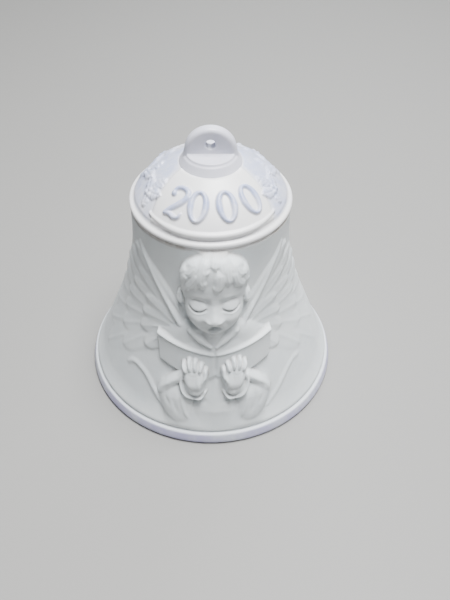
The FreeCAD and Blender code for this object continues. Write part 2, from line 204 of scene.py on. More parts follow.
def near_figure(turn, radius, z):
    low, chin, high, half_head, half_book = 8, 37, 63.6, 12.3, 18.6
    half_width = half_head if z > chin else half_book
    across = abs(turn) * math.radians(wall_radius(z))
    return on_outside(radius, z) and low < z < high and across < half_width


skirt = spun(skirt_outline, 240)
divide_where(skirt, near_wings)
divide_where(skirt, near_figure)


class Relief:
    """Heights over a surface, in millimetres. across and up place each point of the surface on its plan."""

    def __init__(self, across, up):
        self.across, self.up = across, up
        self.height = np.zeros(len(across))

    def raise_to(self, level, soft=0.4):
        """The higher of the relief and the level, with the crease between them filled softly."""
        share = np.clip(0.5 + 0.5 * (level - self.height) / soft, 0, 1)
        self.height = level * share + self.height * (1 - share) + soft * share * (1 - share)

    def from_middle(self, x, y, wide, tall, turn=0.0):
        """Squared distance from the middle of an ellipse, which is 1 on its edge."""
        c, s = math.cos(math.radians(turn)), math.sin(math.radians(turn))
        a = ((self.across - x) * c + (self.up - y) * s) / wide
        b = (-(self.across - x) * s + (self.up - y) * c) / tall
        return a * a + b * b

    def mound(self, x, y, wide, tall, top, turn=0.0, soft=0.4, foot=0.0, flat=1.0):
        """A dome of elliptical plan that rises from foot to top. A larger flat gives it a flatter top."""
        q = self.from_middle(x, y, wide, tall, turn)
        level = np.where(q < 1, np.sqrt(np.clip(1 - q**flat, 0, 1)), -2 * (np.sqrt(np.maximum(q, 1)) - 1))
        self.raise_to(foot + (top - foot) * level, soft)

    def mound_on(self, x, y, wide, tall, rise):
        """A domed patch with a clear rim, laid on what is already there."""
        self.height += rise * np.sqrt(np.clip(1 - self.from_middle(x, y, wide, tall), 0, 1))

    def swell(self, x, y, wide, tall, rise, turn=0.0):
        """Adds a soft bump, or a dent where rise is negative."""
        self.height += rise * np.exp(-self.from_middle(x, y, wide, tall, turn))

    def along(self, points):
        """Distance to a line through the points, the way along it from 0 to 1, and the side of it."""
        line = np.array(points, float)
        runs = np.hypot(*np.diff(line, axis=0).T)
        start = np.concatenate([[0], np.cumsum(runs)]) / runs.sum()
        best = np.full(len(self.across), 1e9)
        way = np.zeros(len(self.across))
        side = np.zeros(len(self.across))
        for i, run in enumerate(runs):
            dx, dy = (line[i + 1] - line[i]) / run
            px, py = self.across - line[i][0], self.up - line[i][1]
            t = np.clip(px * dx + py * dy, 0, run)
            gap = np.hypot(px - t * dx, py - t * dy)
            nearer = gap < best
            best = np.where(nearer, gap, best)
            way = np.where(nearer, start[i] + t / runs.sum(), way)
            side = np.where(nearer, np.sign(dx * py - dy * px), side)
        return best, way, side

    def limb(self, points, widths, tops, soft=0.4, foot=0.0):
        """A rounded roll along a line. widths are half widths, and both they and tops run along the line."""
        gap, way, _ = self.along(points)
        at = np.linspace(0, 1, len(widths))
        q = gap / np.interp(way, at, widths)
        level = np.where(q < 1, np.sqrt(np.clip(1 - q * q, 0, 1)), -2 * (q - 1))
        top = np.interp(way, np.linspace(0, 1, len(tops)), tops)
        self.raise_to(foot + (top - foot) * level, soft)

    def line(self, points, width, rise, fade=0.12):
        """Adds a thin ridge along a line, or a groove where rise is negative, fading at its ends."""
        gap, way, _ = self.along(points)
        ends = np.clip(np.minimum(way, 1 - way) / fade, 0, 1) if fade else 1.0
        self.height += rise * ends * np.exp(-((gap / width) ** 2))

    def feather(self, points, width, top, tilt):
        """A flat blade with a round tip, a shaft along its middle, and one edge higher than the other."""
        gap, way, side = self.along(points)
        shape = np.sqrt(np.clip(way / 0.25, 0.05, 1)) * np.sqrt(np.clip(1 - way**6, 0, 1))
        q = gap / (width * np.maximum(shape, 0.02))
        edge = np.clip((1 - q) / 0.25, -4, 1)
        level = top * (0.35 + 0.65 * np.clip(way / 0.3, 0, 1)) * (1 - 0.25 * q * q) + tilt * side * q
        level = np.where(edge > 0, level * np.sqrt(np.clip(edge, 0, 1)), edge * 0.6)
        level += np.where(q < 1, 0.16 * np.exp(-((gap / 0.28) ** 2)), 0)
        self.raise_to(level, 0.06)


def curve(points, parts=8):
    """A smooth line through the points."""
    ends = [np.array(p, float) for p in points]
    ends = [2 * ends[0] - ends[1]] + ends + [2 * ends[-1] - ends[-2]]
    line = []
    for a, b, c, d in zip(ends, ends[1:], ends[2:], ends[3:]):
        for t in np.arange(parts) / parts:
            square, cube = 2 * a - 5 * b + 4 * c - d, 3 * b - a - 3 * c + d
            line.append(0.5 * (2 * b + (c - a) * t + square * t**2 + cube * t**3))
    line.append(ends[-2])
    return [tuple(p) for p in line]


def draw_wings(wall):
    """Two raised wings, each a fan of long feathers from the shoulder under two rows of shorter ones."""
    root_x, root_z = 8.0, 36.0
    # each row of feathers: height, rise per feather, half width, bow, tilt, and the tips from the lowest up
    long_tips = [(47.0, 13.5), (48.5, 19.5), (48.2, 26.0), (46.0, 32.8)]
    long_tips += [(42.2, 39.6), (37.2, 46.2), (31.8, 52.0), (26.6, 57.0)]
    middle_tips = [(33.5, 20.5), (35.0, 26.2), (34.0, 32.0), (31.6, 37.8), (28.2, 43.4), (24.8, 49.2)]
    short_tips = [(22.0, 26.5), (23.6, 31.6), (22.6, 36.8), (20.8, 42.4)]
    rows = (0.5, 0.09, 3.6, 2.2, 0.12, long_tips), (1.0, 0.07, 3.5, 1.8, 0.13, middle_tips)
    rows += ((1.6, 0.06, 3.0, 1.2, 0.15, short_tips),)
    for side, share in ((-1, 0.62), (1, 0.45)):
        for height, rise, width, bow, tilt, tips in rows:
            for i, (x, z) in enumerate(tips):
                middle = (side * (root_x + x) / 2, (root_z + z) / 2 + bow)
                path = curve([(side * root_x, root_z), middle, (side * x, z)])
                fainter_low_down = min(1.0, 0.4 + max(0.0, z - 18) / 36)
                top = share * fainter_low_down * (height + rise * i)
                wall.feather(path, width, top, side * tilt * fainter_low_down)
        edge = [(9.0, 39.0), (12.5, 44.0), (17.5, 51.0), (21.6, 56.2), (24.0, 58.8)]
        edge = curve([(side * x, z) for x, z in edge])
        tops = [2.3 * share + 0.6, 2.1 * share + 0.2, 1.9 * share, share]
        wall.limb(edge, [1.1, 0.85, 0.75, 0.5], tops, 0.25)


def draw_gown(wall):
    """Shoulders, a neck, a gown that falls in folds, and a pointed collar."""
    wall.mound(1.0, 32.5, 13.5, 8.5, 2.8, soft=0.8)
    wall.limb(curve([(-12.0, 33.4), (-9.2, 35.3), (-4.5, 38.0)]), [2.8, 3.5, 3.0], [1.3, 2.1, 2.8], 1.0)
    wall.limb(curve([(13.2, 33.6), (10.4, 35.5), (6.0, 38.0)]), [2.8, 3.5, 3.0], [1.3, 2.1, 2.8], 1.0)
    wall.limb([(0.4, 40.0), (0.6, 33.0)], [3.6, 3.2], [2.9, 3.1], 0.8)
    gap = (wall.across - 0.9) / (3.0 + 0.36 * np.clip(22 - wall.up, 0, 20))
    fold = 1.25 + 0.09 * np.cos(gap * 8.5 + 0.4) + 0.14 * np.cos(gap * 4.0 - 1.0)
    above_hem = np.clip((wall.up - 5.6) / 6.0, 0, 1) ** 0.7
    gown = fold * np.sqrt(np.clip(1.15 - gap * gap, 0, 1)) * above_hem
    wall.raise_to(np.where((np.abs(gap) < 1.07) & (wall.up < 32), gown, -1), 0.5)
    for side, bow in ((-1, 0.0), (1, 0.9)):
        flap = curve([(bow + side * 5.6, 38.2), (bow * 0.6 + side * 3.2, 36.0), (0.5 + side * 0.7, 33.8)])
        wall.limb(flap, [1.5, 1.6, 0.7], [3.3, 3.7, 3.8], 0.15)
        wall.line([(p[0] + side * 0.15, p[1] + 0.1) for p in flap], 0.3, -0.12)


def draw_book(wall):
    """An open book held up against the chest. Its leaves rise to the spine, and page edges show on top."""
    spine, half_width, spine_top, spine_foot = 0.9, 17.2, 31.9, 19.5

    def top_slope(x):
        return 0.152 * x + 0.0022 * x * x

    x, z = np.abs(wall.across - spine), wall.up
    out = np.clip(x / half_width, 0, 1)
    top = spine_top + top_slope(x)
    bottom = spine_foot + 0.33 * x
    down = np.clip((top - z) / (top - bottom), 0, 1)
    leaf = (3.35 - 1.0 * out) * (1 - down) + (1.15 - 0.35 * out) * down + 0.15 * np.sin(out * math.pi)
    edge = np.minimum.reduce([(top - z) * 1.5, (half_width - x) * 1.6, (z - bottom) * (0.2 + 1.3 * out)])
    level = np.where(edge > 0, leaf * np.sqrt(np.clip(edge, 0, 1)), edge * 3)
    wall.raise_to(np.where(edge > -0.6, level, -2), 0.2)
    wall.line([(spine, 24.0), (spine, 31.8)], 0.4, -0.3, 0.3)
    for side in (-1, 1):
        rim = [(spine + side * t, spine_top - 0.55 + top_slope(t)) for t in np.linspace(0.0, 17.0, 14)]
        wall.line(rim, 0.42, 0.5, 0.03)
        wall.line([(px, pz - 0.95) for px, pz in rim], 0.25, -0.12, 0.05)
        corner = spine + side * 16.9
        wall.line([(corner, 34.4), (corner, 25.6)], 0.3, 0.2, 0.05)


def draw_sleeve(wall, side, x, z):
    """One wide sleeve. It comes from the side, opens round the wrist at x and hangs in folds below it."""
    crest = curve([(x + side * 11.0, 15.8 + z), (x + side * 7.4, 19.4 + z), (x + side * 3.4, 22.8 + z)])
    wall.limb(crest, [1.0, 1.6, 1.6], [1.3, 2.4, 2.7], 0.6)
    wall.line([(px + side * 0.3, pz + 0.5) for px, pz in crest], 0.5, 0.35, 0.25)
    drape = curve([(x + side * 5.8, 15.5 + z), (x + side * 5.2, 10.5), (x + side * 3.6, 4.5)])
    wall.limb(drape, [4.8, 5.2, 5.8], [2.3, 1.4, 0.0], 1.2, foot=-0.6)
    wall.mound(x + side * 6.6, 13.6 + z, 4.8, 6.8, 1.9, turn=side * -24, soft=1.2)
    wall.mound(x + side * 0.4, 19.6 + z, 3.8, 4.0, 2.7, soft=0.4)
    cuff = [(3.4, 23.3), (3.6, 20.4), (2.4, 17.7), (0.2, 16.4), (-2.2, 17.1), (-3.3, 18.8)]
    cuff = curve([(x + side * a, b + z) for a, b in cuff])
    wall.limb(cuff, [0.62, 0.75, 0.75, 0.66, 0.5], [2.9, 3.3, 3.4, 3.2, 2.6], 0.25)
    wall.swell(x - side * 0.3, 16.0 + z, 2.4, 0.8, -0.9, turn=side * 25)
    folds = [
        ([(3.6, 19.2 + z), (3.3, 13.5), (1.8, 7.6)], 0.45, 0.35, 0.2),
        ([(5.2, 18.3 + z), (6.2, 14.5), (4.6, 9.5)], 0.7, -0.22, 0.25),
        ([(7.4, 18.4 + z), (8.6, 15.5), (7.4, 12.2)], 0.6, -0.2, 0.25),
    ]
    for path, width, rise, fade in folds:
        wall.line(curve([(x + side * a, b) for a, b in path]), width, rise, fade)


def draw_hand(wall, side, x, z, turn):
    """One small hand, palm outward, with four bent fingers and the thumb on the inner side."""

    def at(a, b):
        """A place across and up from the middle of the palm."""
        c, s = math.cos(math.radians(turn)), math.sin(math.radians(turn))
        return (x + a * c - b * s, z + a * s + b * c)

    foot = 2.3
    wall.limb([at(0, -4.6), at(0, -1.4)], [2.1, 2.7], [3.6, 4.4], 0.3, foot)
    wall.mound(*at(0, -0.6), 3.15, 4.3, 4.8, turn, 0.3, foot)
    wall.swell(*at(0, -0.3), 1.4, 2.0, -0.4)
    wall.swell(*at(-side * 1.5, -2.4), 1.0, 1.8, 0.4, turn)
    wall.swell(*at(side * 1.6, -2.5), 0.9, 1.9, 0.25, turn)
    for a, length in ((-2.15, 1.7), (-0.78, 2.4), (0.68, 2.3), (2.05, 1.6)):
        a = a * -side
        root = 2.5 - 0.12 * a * a
        finger = [at(a * 0.9, root), at(a * 1.02, root + length * 0.55), at(a * 1.14, root + length)]
        wall.limb(finger, [0.74, 0.72, 0.6], [4.6, 5.0, 4.5], 0.1, foot)
        crease = root + length * 0.5
        wall.line([at(a * 1.02 - 0.5, crease), at(a * 1.02 + 0.5, crease)], 0.14, -0.12)
    thumb = [at(-side * 2.0, -1.4), at(-side * 3.1, 0.4), at(-side * 3.3, 2.0)]
    wall.limb(thumb, [0.95, 0.8, 0.6], [4.6, 4.8, 4.4], 0.12, foot)
    wall.line(curve([at(-side * 0.9, 1.3), at(-side * 0.5, -0.9), at(-side * 0.9, -3.2)]), 0.18, -0.14)
    wall.line(curve([at(side * 2.0, 1.2), at(0.2, 0.7), at(-side * 1.3, 1.4)]), 0.16, -0.1)


def draw_head(wall, x0, chin, tall):
    """A child's head on plain school proportions: round skull, eyes shut, lips parted, short tousled hair."""
    unit = tall / 24.5

    def at(a, b):
        """A place across from the middle of the face and up from the chin, in units."""
        return (x0 + a * unit, chin + b * unit)

    wall.limb([at(0, -3.5), at(0, 2.5)], [3.3 * unit, 3.3 * unit], [2.6, 2.8], 0.6)
    for side in (-1, 1):
        wall.mound(*at(side * 8.7, 9.6), 1.2 * unit, 2.2 * unit, 2.8, side * -10, 0.25)
        wall.swell(*at(side * 8.9, 10.0), 0.5 * unit, 1.1 * unit, -0.8, side * -10)
    wall.mound(*at(0, 13.8), 8.7 * unit, 9.4 * unit, 4.7, soft=0.7, flat=1.4)
    wall.mound(*at(0, 8.3), 7.7 * unit, 8.4 * unit, 5.2, soft=1.0, flat=1.7)
    face = np.clip(1 - ((wall.across - x0) / (7.5 * unit)) ** 2, 0, 1)
    above_chin = np.clip((wall.up - chin + 0.3) / 1.2, 0, 1)
    wall.height += face * 0.06 * np.clip(at(0, 9)[1] - wall.up, 0, 8.2) * above_chin
    for side in (-1, 1):
        wall.swell(*at(side * 4.4, 6.4), 2.5 * unit, 2.3 * unit, 0.85)
        wall.swell(*at(side * 3.6, 11.3), 2.3 * unit, 1.3 * unit, -0.6)
        wall.swell(*at(side * 1.5, 11.0), 0.7 * unit, 1.3 * unit, -0.45)
    wall.swell(*at(0, 15.2), 4.6 * unit, 2.6 * unit, 0.45)
    for side in (-1, 1):
        wall.mound_on(*at(side * 3.75, 10.1), 2.0 * unit, 1.35 * unit, 0.55)
        lid = [(1.5, 9.75), (2.4, 9.1), (3.7, 8.75), (5.0, 9.0), (6.1, 9.75)]
        wall.line(curve([at(side * px, pz) for px, pz in lid]), 0.24 * unit, -0.75, 0.12)
        wall.line(curve([at(side * px, pz - 0.45) for px, pz in lid]), 0.26 * unit, 0.22, 0.2)
        crease = curve([at(side * 1.9, 11.2), at(side * 3.7, 12.0), at(side * 5.6, 11.2)])
        wall.line(crease, 0.28 * unit, -0.2, 0.25)
        brow = curve([at(side * 1.9, 12.9), at(side * 3.9, 13.5), at(side * 6.0, 12.4)])
        wall.line(brow, 0.6 * unit, 0.16, 0.3)
    nose = wall.along([at(0, 12.6), at(0, 6.7)])
    width = np.interp(nose[1], [0, 0.5, 1], [0.95, 1.1, 1.55]) * unit
    rise = np.interp(nose[1], [0, 0.3, 0.6, 0.88, 1], [0.0, 0.35, 1.2, 2.2, 2.15])
    wall.height += rise * np.exp(-((nose[0] / width) ** 2))
    for side in (-1, 1):
        wall.swell(*at(side * 1.4, 6.6), 0.7 * unit, 0.65 * unit, 0.6)
        wall.swell(*at(side * 0.62, 5.55), 0.4 * unit, 0.28 * unit, -0.9)
        wall.swell(*at(side * 2.9, 4.9), 0.5 * unit, 1.6 * unit, -0.2, side * 25)
    wall.swell(*at(0, 3.2), 2.9 * unit, 2.3 * unit, 0.55)
    wall.line([at(0, 5.3), at(0, 4.6)], 0.3 * unit, -0.25, 0.2)
    lips = [at(1.95 * math.sin(t), 3.1 + 1.35 * math.cos(t)) for t in np.linspace(0, 2 * math.pi, 25)]
    wall.line(lips, 0.48 * unit, 0.75, 1.0)
    wall.swell(*at(0, 3.1), 1.35 * unit, 0.9 * unit, -2.4)
    wall.swell(*at(0, 0.75), 1.7 * unit, 0.45 * unit, -0.25)
    wall.swell(*at(0, 0.1), 2.0 * unit, 0.9 * unit, 0.7)
    # hair: a round cap, then locks laid over it from the crown of the head down to a ragged fringe
    wall.mound(*at(0.2, 17.2), 9.2 * unit, 7.4 * unit, 4.9, soft=0.3)
    ends = [(-9.0, 11.6), (9.2, 11.8), (-8.0, 13.6), (8.4, 13.9), (-6.3, 14.8), (6.8, 15.2), (-4.4, 15.6)]
    ends += [(4.9, 16.4), (-2.5, 16.6), (3.1, 17.2), (0.4, 15.3), (-9.0, 16.8), (9.3, 16.9), (-7.0, 18.4)]
    ends += [(7.4, 18.3), (-4.6, 19.4), (5.2, 19.5), (-2.0, 20.2), (2.4, 20.4), (-6.4, 21.6), (6.8, 21.5)]
    ends += [(0.2, 22.0)]
    locks = np.zeros(len(wall.height))
    for i, (a, b) in enumerate(ends):
        lean = 0.9 * math.sin(i * 2.1)
        root = (a * 0.72 + 0.4 + lean, min(b + 6.5, 24.4 - 0.035 * a * a))
        bends = [at(a * 0.9 + lean, 0.6 * b + 0.4 * root[1]), at(a + 0.3 * lean, b + 1.1)]
        gap, way, side = wall.along(curve([at(*root), *bends, at(a, b)], 6))
        half = np.interp(way, [0, 0.35, 0.8, 1], [0.8, 1.35, 1.2, 0.6]) * unit
        lock = np.sqrt(np.clip(1 - (gap / half) ** 2, 0, 1))
        lock *= np.interp(way, [0, 0.2, 0.85, 1], [0.2, 1, 0.95, 0.55])
        lock *= 0.62 + 0.16 * (i % 3) + 0.07 * np.cos(gap * side * 2 * math.pi / (0.7 * unit))
        locks = np.maximum(locks, lock)
    wall.height += locks * np.clip((wall.height - 0.3) / 1.5, 0, 1)


def draw_ribbon(wall):
    """A loose band of cloth that drifts from behind each sleeve and curls at its end."""
    left = [(-30.0, 17.2), (-27.6, 18.9), (-24.8, 19.0), (-21.6, 17.6), (-18.8, 14.4)]
    left += [(-15.0, 10.4), (-10.6, 7.0)]
    wall.limb(curve(left), [0.5, 0.7, 0.8, 0.9, 1.0, 0.9, 0.6], [0.35, 0.5, 0.55, 0.6, 0.6, 0.5, 0.3], 0.3)
    right = curve([(31.8, 18.0), (29.0, 18.4), (25.6, 16.6), (22.2, 13.2), (18.0, 9.4)])
    wall.limb(right, [0.5, 0.7, 0.8, 0.8, 0.6], [0.25, 0.35, 0.4, 0.35, 0.2], 0.3)


def points_of(data):
    """The places of a mesh's points in millimetres."""
    co = np.zeros(len(data.vertices) * 3)
    data.vertices.foreach_get("co", co)
    return co.reshape(-1, 3) / MM


def move_points(data, co):
    data.vertices.foreach_set("co", (co * MM).ravel())
    data.update()


def edges_of(data):
    """The two ends of each edge of a mesh."""
    ends = np.zeros(len(data.edges) * 2, int)
    data.edges.foreach_get("vertices", ends)
    return ends.reshape(-1, 2)


def around_axis(co):
    """Radius and azimuth of each point. The azimuth is 0 at the front and grows to the right."""
    return np.hypot(co[:, 0], co[:, 1]), np.arctan2(co[:, 0], -co[:, 1])


skirt_data = made_mesh("skirt_casting", skirt)
co = points_of(skirt_data)
radius, azimuth = around_axis(co)
outside = on_outside(radius, co[:, 2])
wall_now = wall_radius(co[outside, 2])
wall = Relief(azimuth[outside] * wall_now, co[outside, 2])
draw_wings(wall)
draw_ribbon(wall)
draw_gown(wall)
draw_book(wall)
draw_sleeve(wall, -1, -5.2, 0.0)
draw_sleeve(wall, 1, 6.6, 0.1)
draw_hand(wall, -1, -4.9, 24.4, 4)
draw_hand(wall, 1, 6.3, 24.7, -4)
draw_head(wall, 0.7, 38.0, 25.7)
above_hem, below_joint = wall.up - 5.0, JOINT - 0.25 - wall.up
wall.height *= np.clip(above_hem / 0.9, 0, 1) * np.clip(below_joint / 0.5, 0, 1)
edges = edges_of(skirt_data)


def softened(values, edges, rounds):
    """Values at the vertices, each drawn half of the way to the mean of its neighbours."""
    count = np.bincount(edges.ravel(), minlength=len(values)).clip(1)
    for _ in range(rounds):
        total = np.bincount(edges[:, 0], values[edges[:, 1]], len(values))
        total += np.bincount(edges[:, 1], values[edges[:, 0]], len(values))
        values = (values + total / count) / 2
    return values


def keep_values(data, name, values):
    data.attributes.new(name, "FLOAT", "POINT").data.foreach_set("value", values)


def keep_hollows(data, height, edges):
    """Stores how deep each point lies below its surroundings, for the dust and painted shade laid in the
    hollows.
    """
    depth = softened(height, edges, 10) - height
    keep_values(data, "hollow", np.clip(depth / 0.35, 0, 1))


full_height = np.zeros(len(co))
full_height[outside] = np.maximum(wall.height, -0.1)
full_height = softened(full_height, edges, 2)
keep_hollows(skirt_data, full_height, edges)
new_radius = wall_now + full_height[outside]
co[outside, 0] = np.sin(azimuth[outside]) * new_radius
co[outside, 1] = -np.cos(azimuth[outside]) * new_radius
move_points(skirt_data, co)


def put_in_scene(name, data, body, material, node):
    """A finished casting, smooth shaded, riding on its body in place of its plain node."""
    for polygon in data.polygons:
        polygon.use_smooth = True
    data.materials.clear()
    data.materials.append(material)
    piece = bpy.data.objects.new(name, data)
    bpy.context.collection.objects.link(piece)
    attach(piece, body)
    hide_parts(node)


class Tree:
    """A short way to add and join the nodes of one material or group."""

    def __init__(self, tree):
        self.nodes, self.links = tree.nodes, tree.links

    def add(self, kind, settings=None, **inputs):
        """A new node. An input goes by its name, with _ for a space, or by its number, as i0 or i1."""
        node = self.nodes.new("ShaderNode" + kind)
        for name, value in (settings or {}).items():
            setattr(node, name, value)
        for name, value in inputs.items():
            socket = node.inputs[int(name[1:]) if name[1:].isdigit() else name.replace("_", " ")]
            if isinstance(value, bpy.types.NodeSocket):
                self.links.new(value, socket)
            else:
                socket.default_value = value
        return node

    def mix(self, share, a, b):
        node = self.add("Mix", {"data_type": "RGBA"}, i0=share, i6=a, i7=b)
        return node.outputs[2]

    def calc(self, how, *values):
        node = self.add("Math", {"operation": how}, **{f"i{i}": v for i, v in enumerate(values)})
        return node.outputs[0]

    def ramp(self, value, low, high, start=0.0, end=1.0):
        node = self.add("MapRange", {"interpolation_type": "SMOOTHSTEP"}, Value=value)
        for name, number in (("From Min", low), ("From Max", high), ("To Min", start), ("To Max", end)):
            node.inputs[name].default_value = number
        return node.outputs["Result"]

    def noise(self, scale, detail=3.0, where=None):
        where = where or self.add("TexCoord").outputs["Object"]
        node = self.add("TexNoise", Vector=where, Scale=scale, Detail=detail)
        return node.outputs["Fac"]


def new_group(name, takes, gives):
    """A node group with the named inputs and outputs, its Tree, and its input and output nodes."""
    group = bpy.data.node_groups.new(name, "ShaderNodeTree")
    for names, way in ((takes, "INPUT"), (gives, "OUTPUT")):
        for socket, kind in names.items():
            group.interface.new_socket(socket, in_out=way, socket_type="NodeSocket" + kind)
    tree = Tree(group)
    return group, tree, tree.nodes.new("NodeGroupInput"), tree.nodes.new("NodeGroupOutput")


# the effects every clay piece shares: clouds of tone, dust and painted shade darkening the hollows, grain and
# pinholes
clay, tree, takes, gives = new_group(
    "fired_clay",
    {"Body": "Color", "Cloud": "Color", "Dust and Shade": "Color", "Base Roughness": "Float"},
    {"Color": "Color", "Roughness": "Float", "Height": "Float"},
)
clouds = tree.noise(55.0, 4.0)
mottle = tree.noise(420.0, 3.0)
share = tree.calc("MULTIPLY_ADD", tree.ramp(mottle, 0.4, 0.7), 0.25, tree.ramp(clouds, 0.42, 0.68, 0.0, 0.75))
tone = tree.mix(share, takes.outputs["Body"], takes.outputs["Cloud"])
# dust and painted shade: the deeper a point lies in a hollow, the more it is darkened, broken up by noise
hollow = tree.add("Attribute", {"attribute_name": "hollow"}).outputs["Fac"]
hollow_dust_and_shade = tree.calc("MULTIPLY", hollow, tree.ramp(tree.noise(230.0), 0.3, 0.6, 0.25, 0.62))
pits = tree.add("TexVoronoi", {"feature": "F1"}, Vector=tree.add("TexCoord").outputs["Object"], Scale=520.0)
pinhole = tree.calc(
    "MULTIPLY",
    tree.ramp(pits.outputs["Distance"], 0.05, 0.13, 1.0, 0.0),
    tree.ramp(tree.noise(130.0), 0.62, 0.7),
)
# painted shade with dust: the hollows are mixed towards the darker dust and shade colour
tone = tree.mix(hollow_dust_and_shade, tone, takes.outputs["Dust and Shade"])
tone = tree.mix(tree.calc("MULTIPLY", pinhole, 0.5), tone, takes.outputs["Dust and Shade"])
tree.links.new(tone, gives.inputs["Color"])
rough = tree.calc("MULTIPLY_ADD", tree.noise(310.0, 4.0), 0.16, takes.outputs["Base Roughness"])
rough = tree.calc("MULTIPLY_ADD", tree.ramp(clouds, 0.45, 0.6), -0.05, rough)
tree.links.new(tree.calc("MULTIPLY_ADD", hollow_dust_and_shade, 0.15, rough), gives.inputs["Roughness"])
grain = tree.calc("MULTIPLY_ADD", tree.noise(2600.0, 2.0), 0.5, tree.calc("MULTIPLY", tree.noise(700.0), 0.5))
tree.links.new(tree.calc("MULTIPLY_ADD", pinhole, -0.9, grain), gives.inputs["Height"])


def clay_material(name, body, cloud, dust_and_shade_colour, roughness, bump, coat=0.0, tints=()):
    """Fired clay. tints are pairs of a colour laid over the body and a function that gives its share."""
    material = bpy.data.materials.new(name)
    material.use_nodes = True
    tree = Tree(material.node_tree)
    shader = tree.nodes["Principled BSDF"]
    effects = tree.nodes.new("ShaderNodeGroup")
    effects.node_tree = clay
    tone = tree.add("RGB").outputs[0]
    tone.default_value = (*body, 1)
    for colour, share in tints:
        tone = tree.mix(share(tree), tone, (*colour, 1))
    tree.links.new(tone, effects.inputs["Body"])
    effects.inputs["Cloud"].default_value = (*cloud, 1)
    # the darker colour for dust and painted shade in the hollows
    effects.inputs["Dust and Shade"].default_value = (*dust_and_shade_colour, 1)
    effects.inputs["Base Roughness"].default_value = roughness
    tree.links.new(effects.outputs["Color"], shader.inputs["Base Color"])
    tree.links.new(effects.outputs["Roughness"], shader.inputs["Roughness"])
    relief = tree.add("Bump", Height=effects.outputs["Height"], Strength=bump, Distance=0.0001)
    tree.links.new(relief.outputs["Normal"], shader.inputs["Normal"])
    shader.inputs["Subsurface Weight"].default_value = 0.08
    shader.inputs["Subsurface Radius"].default_value = (1.0, 0.9, 0.8)
    shader.inputs["Subsurface Scale"].default_value = 0.001
    shader.inputs["Coat Weight"].default_value = coat
    shader.inputs["Coat Roughness"].default_value = 0.28
    return material


def by_height(low, high, start=0.0, end=1.0):
    """A share that changes between two heights in millimetres."""

    def share(tree):
        place = tree.add("SeparateXYZ", Vector=tree.add("TexCoord").outputs["Object"])
        return tree.ramp(place.outputs["Z"], low * MM, high * MM, start, end)

    return share


def painted(name):
    """A share kept at the vertices under that name, a little worn."""

    def share(tree):
        kept = tree.add("Attribute", {"attribute_name": name}).outputs["Fac"]
        worn = tree.ramp(tree.noise(650.0, 4.0), 0.3, 0.55, 0.75, 1.0)
        return tree.calc("MULTIPLY", kept, worn)

    return share


bisque = clay_material(
    "bisque_white",
    (0.775, 0.82, 0.84),
    (0.70, 0.75, 0.78),
    (0.50, 0.47, 0.45),
    0.48,
    0.35,
    tints=[
        ((0.42, 0.40, 0.64), by_height(3.0, 4.1, 0.85, 0.0)),
        # painted shade: warm brown darkening at the top of the neck, under the crown's overhanging lip
        ((0.30, 0.23, 0.17), by_height(JOINT - 1.1, JOINT + 0.1, 0.0, 0.7)),
    ],
)
put_in_scene("skirt_casting", skirt_data, "shell", bisque, "bell_skirt")


# ---------------------------------------------------------------- crown dome
# Slip-cast cap with a rolled lip. A raised panel on its front carries four plain numerals, and a spray of
# holly leaves and berries runs round the rest of the dome.
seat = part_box("crown_dome")[1].z / MM
dome_foot = (21.7, 67.8)
dome_line = [(22.2, 66.7), (21.9, 67.2), dome_foot] + bend(dome_foot, (8.6, seat), 32.0, -1, 300)
crease, lip_top = JOINT + 0.6, (22.9, 66.35)
lip_line = [(NECK, crease - 0.25), (NECK - 0.12, crease), (NECK, crease + 0.15)]
lip_line += bend((NECK, crease + 0.15), lip_top, 0.83, -1, 9) + [(22.6, 66.45), (22.4, 66.55)]
ceiling_line = evenly([(0.0, 74.7), (8.0, 74.7)] + bend((8.0, 74.7), (20.5, 66.6), 29.2, -1, 30), 1.2)
crown_outline = [(0.0, seat), (4.5, seat)] + evenly(dome_line[::-1], 0.42) + lip_line[::-1]
crown_outline += [(NECK, JOINT), (NECK - WALL, JOINT)] + ceiling_line[::-1]
crown = spun(crown_outline, 288, closed=False)
dome_z = np.array([z for r, z in dome_line])
dome_r = np.array([r for r, z in dome_line])
dome_way = np.concatenate([[0], np.cumsum(np.hypot(np.diff(dome_r), np.diff(dome_z)))])
dome_way -= np.interp(dome_foot[1], dome_z, dome_way)


def on_dome(radius, z, low, high):
    """Whether a point is on the dome's outside between two heights."""
    return (z > low) & (z < high) & (radius > np.interp(z, dome_z, dome_r) - 0.3)


divide_where(crown, lambda turn, r, z: abs(turn) < 100 and on_dome(r, z, 66.9, seat - 0.05))
crown_data = made_mesh("crown_casting", crown)
co = points_of(crown_data)
radius, azimuth = around_axis(co)
on_top = on_dome(radius, co[:, 2], 66.75, seat - 0.01)
dome_now, dome_turn = np.interp(co[on_top, 2], dome_z, dome_r), azimuth[on_top]
way_up = np.interp(co[on_top, 2], dome_z, dome_way)
dome = Relief(dome_turn * dome_now, way_up)
turn = np.degrees(dome_turn)
panel_middle, panel_reach = 1.5, 51
half_panel = panel_reach + way_up
side_edge = (half_panel - np.abs(turn - panel_middle)) * np.radians(dome_now)
level = np.minimum(side_edge, way_up + 0.45) / 0.9
dome.raise_to(np.where(level > 0, 0.42 * np.sqrt(np.clip(level, 0, 1)), level), 0.15)
panel_foot = []
for t in np.linspace(-panel_reach, panel_reach + 2 * panel_middle, 30):
    rise = 1.3 * (abs(t - panel_middle) / 52) ** 2.5
    panel_foot.append((math.radians(t) * 21.3, 0.15 + rise))
dome.limb(panel_foot, [0.5, 0.95, 1.05, 1.05, 0.95, 0.5], [0.7, 0.9, 0.95, 0.95, 0.9, 0.7], 0.3)


def beside(degrees):
    """The dome's plan again, with the distance across measured from one meridian."""
    from_it = (dome_turn - math.radians(degrees) + math.pi) % (2 * math.pi) - math.pi
    return Relief(from_it * dome_now, way_up)


